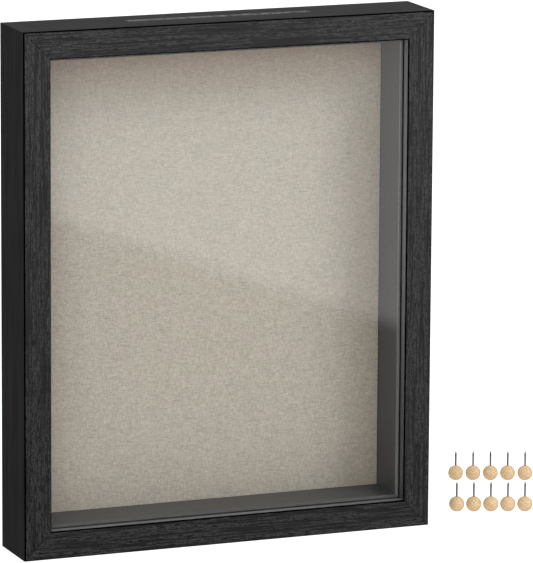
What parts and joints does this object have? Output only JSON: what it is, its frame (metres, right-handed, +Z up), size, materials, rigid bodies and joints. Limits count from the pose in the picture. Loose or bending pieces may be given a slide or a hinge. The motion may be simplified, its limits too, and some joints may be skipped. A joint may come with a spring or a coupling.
{
  "type": "shadow box",
  "caption": "Glazed box frame with a slot in its top for dropping keepsakes in, a linen-covered back that lifts out, and loose ball-headed pins.",
  "frame": {"origin": "centre of the case's footprint, on the surface it stands on", "axes": "+Z up, -Y towards the viewer through the glass, +X to the viewer's right"},
  "size_m": [0.3308, 0.0954, 0.2844],
  "materials": {
    "black_film": "embossed wood-grain film, satin",
    "liner_film": "matt dark paper",
    "glass": "clear polished",
    "linen": "natural plain weave with slubs",
    "board": "plain fibreboard",
    "steel": "zinc-plated",
    "bumper": "matt",
    "pin_wood": "smooth lacquered beech",
    "needle_steel": "polished"
  },
  "bodies": {
    "case": {"rail_top": "black_film", "rail_bottom": "black_film", "rail_left": "black_film", "rail_right": "black_film", "liner_top": "liner_film", "liner_bottom": "liner_film", "liner_left": "liner_film", "liner_right": "liner_film", "corner_v_nails": "steel", "glass_pane": "glass", "button_screws": "steel", "sawtooth_hanger": "steel", "hanger_brads": "steel", "back_bumpers": "bumper"},
    "back": {"pin_board": "board", "linen_fabric": "linen"},
    "button_01": {"turn_button_01": "steel"},
    "button_02": {"turn_button_02": "steel"},
    "button_03": {"turn_button_03": "steel"},
    "button_04": {"turn_button_04": "steel"},
    "button_05": {"turn_button_05": "steel"},
    "button_06": {"turn_button_06": "steel"},
    "button_07": {"turn_button_07": "steel"},
    "button_08": {"turn_button_08": "steel"},
    "pin_01": {"pin_01_head": "pin_wood", "pin_01_needle": "needle_steel"},
    "pin_02": {"pin_02_head": "pin_wood", "pin_02_needle": "needle_steel"},
    "pin_03": {"pin_03_head": "pin_wood", "pin_03_needle": "needle_steel"},
    "pin_04": {"pin_04_head": "pin_wood", "pin_04_needle": "needle_steel"},
    "pin_05": {"pin_05_head": "pin_wood", "pin_05_needle": "needle_steel"},
    "pin_06": {"pin_06_head": "pin_wood", "pin_06_needle": "needle_steel"},
    "pin_07": {"pin_07_head": "pin_wood", "pin_07_needle": "needle_steel"},
    "pin_08": {"pin_08_head": "pin_wood", "pin_08_needle": "needle_steel"},
    "pin_09": {"pin_09_head": "pin_wood", "pin_09_needle": "needle_steel"},
    "pin_10": {"pin_10_head": "pin_wood", "pin_10_needle": "needle_steel"}
  },
  "joints": [
    {"name": "back_slide", "type": "slide", "parent": "case", "child": "back", "axis": [0, 1, 0], "range_m": [0, 0.06]},
    {"name": "button_01_turn", "type": "hinge", "parent": "case", "child": "button_01", "pos_m": [0.062, 0.0188, 0.2804], "axis": [0, 1, 0], "continuous": true},
    {"name": "button_02_turn", "type": "hinge", "parent": "case", "child": "button_02", "pos_m": [-0.062, 0.0188, 0.2804], "axis": [0, -1, 0], "continuous": true},
    {"name": "button_03_turn", "type": "hinge", "parent": "case", "child": "button_03", "pos_m": [-0.062, 0.0188, 0.004], "axis": [0, 1, 0], "continuous": true},
    {"name": "button_04_turn", "type": "hinge", "parent": "case", "child": "button_04", "pos_m": [0.062, 0.0188, 0.004], "axis": [0, -1, 0], "continuous": true},
    {"name": "button_05_turn", "type": "hinge", "parent": "case", "child": "button_05", "pos_m": [-0.1128, 0.0188, 0.2142], "axis": [0, 1, 0], "continuous": true},
    {"name": "button_06_turn", "type": "hinge", "parent": "case", "child": "button_06", "pos_m": [-0.1128, 0.0188, 0.0702], "axis": [0, -1, 0], "continuous": true},
    {"name": "button_07_turn", "type": "hinge", "parent": "case", "child": "button_07", "pos_m": [0.1128, 0.0188, 0.0702], "axis": [0, 1, 0], "continuous": true},
    {"name": "button_08_turn", "type": "hinge", "parent": "case", "child": "button_08", "pos_m": [0.1128, 0.0188, 0.2142], "axis": [0, -1, 0], "continuous": true},
    {"name": "pin_01_lift", "type": "slide", "parent": "case", "child": "pin_01", "axis": [0, 0, 1], "range_m": [0, 0.04]},
    {"name": "pin_02_lift", "type": "slide", "parent": "case", "child": "pin_02", "axis": [0, 0, 1], "range_m": [0, 0.04]},
    {"name": "pin_03_lift", "type": "slide", "parent": "case", "child": "pin_03", "axis": [0, 0, 1], "range_m": [0, 0.04]},
    {"name": "pin_04_lift", "type": "slide", "parent": "case", "child": "pin_04", "axis": [0, 0, 1], "range_m": [0, 0.04]},
    {"name": "pin_05_lift", "type": "slide", "parent": "case", "child": "pin_05", "axis": [0, 0, 1], "range_m": [0, 0.04]},
    {"name": "pin_06_lift", "type": "slide", "parent": "case", "child": "pin_06", "axis": [0, 0, 1], "range_m": [0, 0.04]},
    {"name": "pin_07_lift", "type": "slide", "parent": "case", "child": "pin_07", "axis": [0, 0, 1], "range_m": [0, 0.04]},
    {"name": "pin_08_lift", "type": "slide", "parent": "case", "child": "pin_08", "axis": [0, 0, 1], "range_m": [0, 0.04]},
    {"name": "pin_09_lift", "type": "slide", "parent": "case", "child": "pin_09", "axis": [0, 0, 1], "range_m": [0, 0.04]},
    {"name": "pin_10_lift", "type": "slide", "parent": "case", "child": "pin_10", "axis": [0, 0, 1], "range_m": [0, 0.04]}
  ]
}
